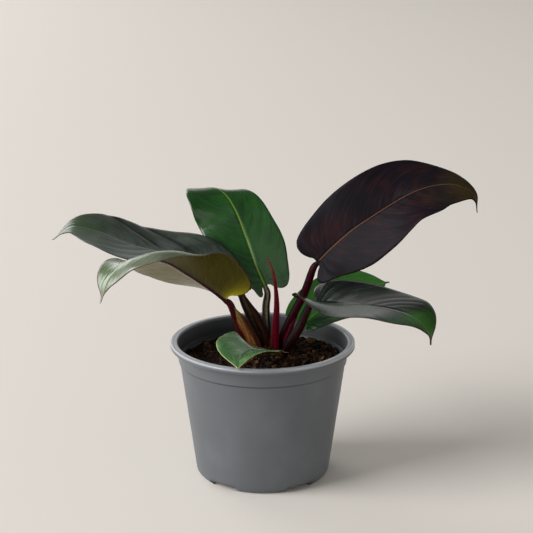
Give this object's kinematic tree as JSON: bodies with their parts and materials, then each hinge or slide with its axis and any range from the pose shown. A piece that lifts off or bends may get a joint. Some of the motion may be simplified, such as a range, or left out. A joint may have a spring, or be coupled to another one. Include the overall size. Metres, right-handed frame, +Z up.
{
  "type": "potted black cardinal philodendron",
  "caption": "Potted philodendron: broad dark and green leaves with drooping tips on reddish stalks round a rolled new leaf, in a round tapered grey nursery pot.",
  "frame": {"origin": "on the floor, in the middle of the pot's flat base", "axes": "+Z up; -Y is the plant's front, the side the picture shows; +X to the viewer's right"},
  "size_m": [0.3888, 0.2387, 0.2945],
  "materials": {
    "pot": "satin moulded polypropylene, mid grey",
    "soil": "matt, loose dark brown potting mix",
    "crown": "matt, brown stem tissue",
    "dark_leaf": "glossy, waxy, purple-black",
    "grey_green_leaf": "glossy, waxy, dark grey-green",
    "olive_leaf": "satin olive underside, green above",
    "green_leaf": "glossy, waxy, deep green",
    "dark_stalk": "satin, purple-black",
    "red_stalk": "satin, dark red",
    "tan_sheath": "matt, dry, orange-brown",
    "maroon_sheath": "satin, maroon",
    "crimson_sheath": "satin, crimson"
  },
  "bodies": {
    "root": {"pot": "pot", "soil": "soil", "crown": "crown", "blade_far_left": "grey_green_leaf", "stalk_far_left": "dark_stalk", "blade_front_left": "olive_leaf", "stalk_front_left": "red_stalk", "blade_centre": "green_leaf", "stalk_centre": "dark_stalk", "blade_high_right": "dark_leaf", "stalk_high_right": "dark_stalk", "blade_low_right": "grey_green_leaf", "stalk_low_right": "dark_stalk", "blade_back_right": "green_leaf", "stalk_back_right": "dark_stalk", "blade_front_small": "green_leaf", "stalk_front_small": "red_stalk", "sheath_front_left": "tan_sheath", "sheath_far_left": "maroon_sheath", "sheath_high_right": "crimson_sheath", "sheath_crown": "maroon_sheath", "new_leaf": "crimson_sheath"}
  },
  "joints": []
}
